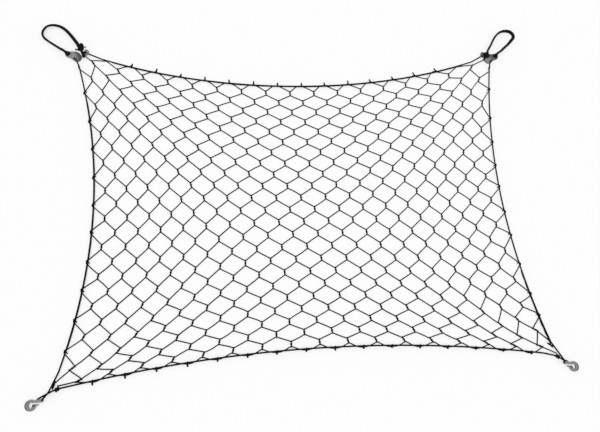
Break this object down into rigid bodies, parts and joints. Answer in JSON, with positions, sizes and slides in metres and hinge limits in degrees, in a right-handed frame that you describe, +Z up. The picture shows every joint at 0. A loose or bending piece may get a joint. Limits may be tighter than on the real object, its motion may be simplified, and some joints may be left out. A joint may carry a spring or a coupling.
{
  "type": "car dog barrier net",
  "caption": "Flat black knotless net with bowed-in border cords, grey open ring hooks at the bottom corners and grey toggles with elastic loops at the top corners.",
  "frame": {"origin": "on the surface the net lies on, under the middle of the panel, its cords and its corner pieces", "axes": "+X along the top edge to the right, +Y from the hooks to the loops, +Z up out of the panel"},
  "size_m": [1.1923, 0.8937, 0.0161],
  "materials": {
    "black_yarn": "matt braided polyethylene twine",
    "black_cord": "braided cord with a slight sheen",
    "black_elastic": "flat woven elastic",
    "grey_nylon": "moulded nylon with a satin surface"
  },
  "bodies": {
    "root": {"netting": "black_yarn", "top_cord": "black_cord", "side_cord": "black_cord", "toggle_left": "grey_nylon", "cord_eye_left": "grey_nylon", "loop_left": "black_elastic", "loop_knot_left": "black_elastic", "end_knot_left": "black_cord", "hook_left": "grey_nylon", "corner_knot_left": "black_cord", "toggle_right": "grey_nylon", "cord_eye_right": "grey_nylon", "loop_right": "black_elastic", "loop_knot_right": "black_elastic", "end_knot_right": "black_cord", "hook_right": "grey_nylon", "corner_knot_right": "black_cord"}
  },
  "joints": []
}
